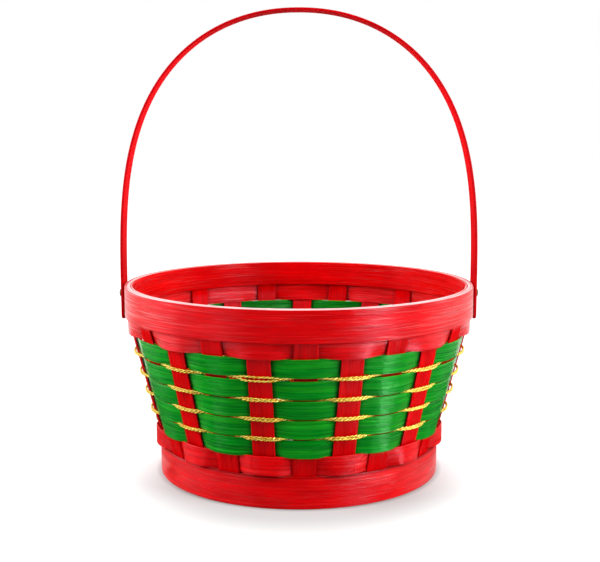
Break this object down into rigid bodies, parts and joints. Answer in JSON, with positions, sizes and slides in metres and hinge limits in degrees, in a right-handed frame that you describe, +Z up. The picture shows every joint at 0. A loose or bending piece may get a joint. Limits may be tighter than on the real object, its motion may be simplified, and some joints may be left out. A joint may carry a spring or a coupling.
{
  "type": "handled basket",
  "caption": "Round flared basket plaited from dyed bamboo strips, with clamped rim bands, a foot band, gold cords and a tall swing handle on rivets.",
  "frame": {"origin": "middle of the foot band's bottom edge, on the surface that the basket stands on", "axes": "+Z up, X through both handle rivets, -Y to the front of the picture"},
  "size_m": [0.2576, 0.25, 0.3281],
  "materials": {
    "red_bamboo": "dyed and lightly lacquered, satin, lengthwise grain",
    "pale_bamboo": "bare bamboo edge, sanded flush with the rim bands, faintly pink from the dye",
    "green_bamboo": "dyed and lightly lacquered, satin, lengthwise grain",
    "gold_cord": "two-ply metallic yarn",
    "rivet_metal": "dull plated, slightly worn"
  },
  "bodies": {
    "basket": {"rim_outer_band": "red_bamboo", "rim_inner_band": "red_bamboo", "foot_band": "red_bamboo", "strip_01": "red_bamboo", "strip_02": "red_bamboo", "strip_03": "red_bamboo", "strip_04": "red_bamboo", "strip_05": "red_bamboo", "strip_06": "red_bamboo", "strip_07": "red_bamboo", "strip_08": "red_bamboo", "strip_09": "red_bamboo", "strip_10": "red_bamboo", "strip_11": "red_bamboo", "strip_12": "red_bamboo", "weaver_red_top": "red_bamboo", "weaver_red_bottom": "red_bamboo", "rim_filler": "pale_bamboo", "weaver_green_1": "green_bamboo", "weaver_green_2": "green_bamboo", "weaver_green_3": "green_bamboo", "weaver_green_4": "green_bamboo", "weaver_green_5": "green_bamboo", "gold_cord_1": "gold_cord", "gold_cord_2": "gold_cord", "gold_cord_3": "gold_cord", "gold_cord_4": "gold_cord", "rivet_left": "rivet_metal", "rivet_right": "rivet_metal", "rivet_washer_left": "rivet_metal", "rivet_washer_right": "rivet_metal"},
    "handle": {"handle": "red_bamboo"}
  },
  "joints": [
    {"name": "handle_swing", "type": "hinge", "parent": "basket", "child": "handle", "pos_m": [0, 0, 0.1273], "axis": [1, 0, 0], "range_deg": [-125, 125]}
  ]
}
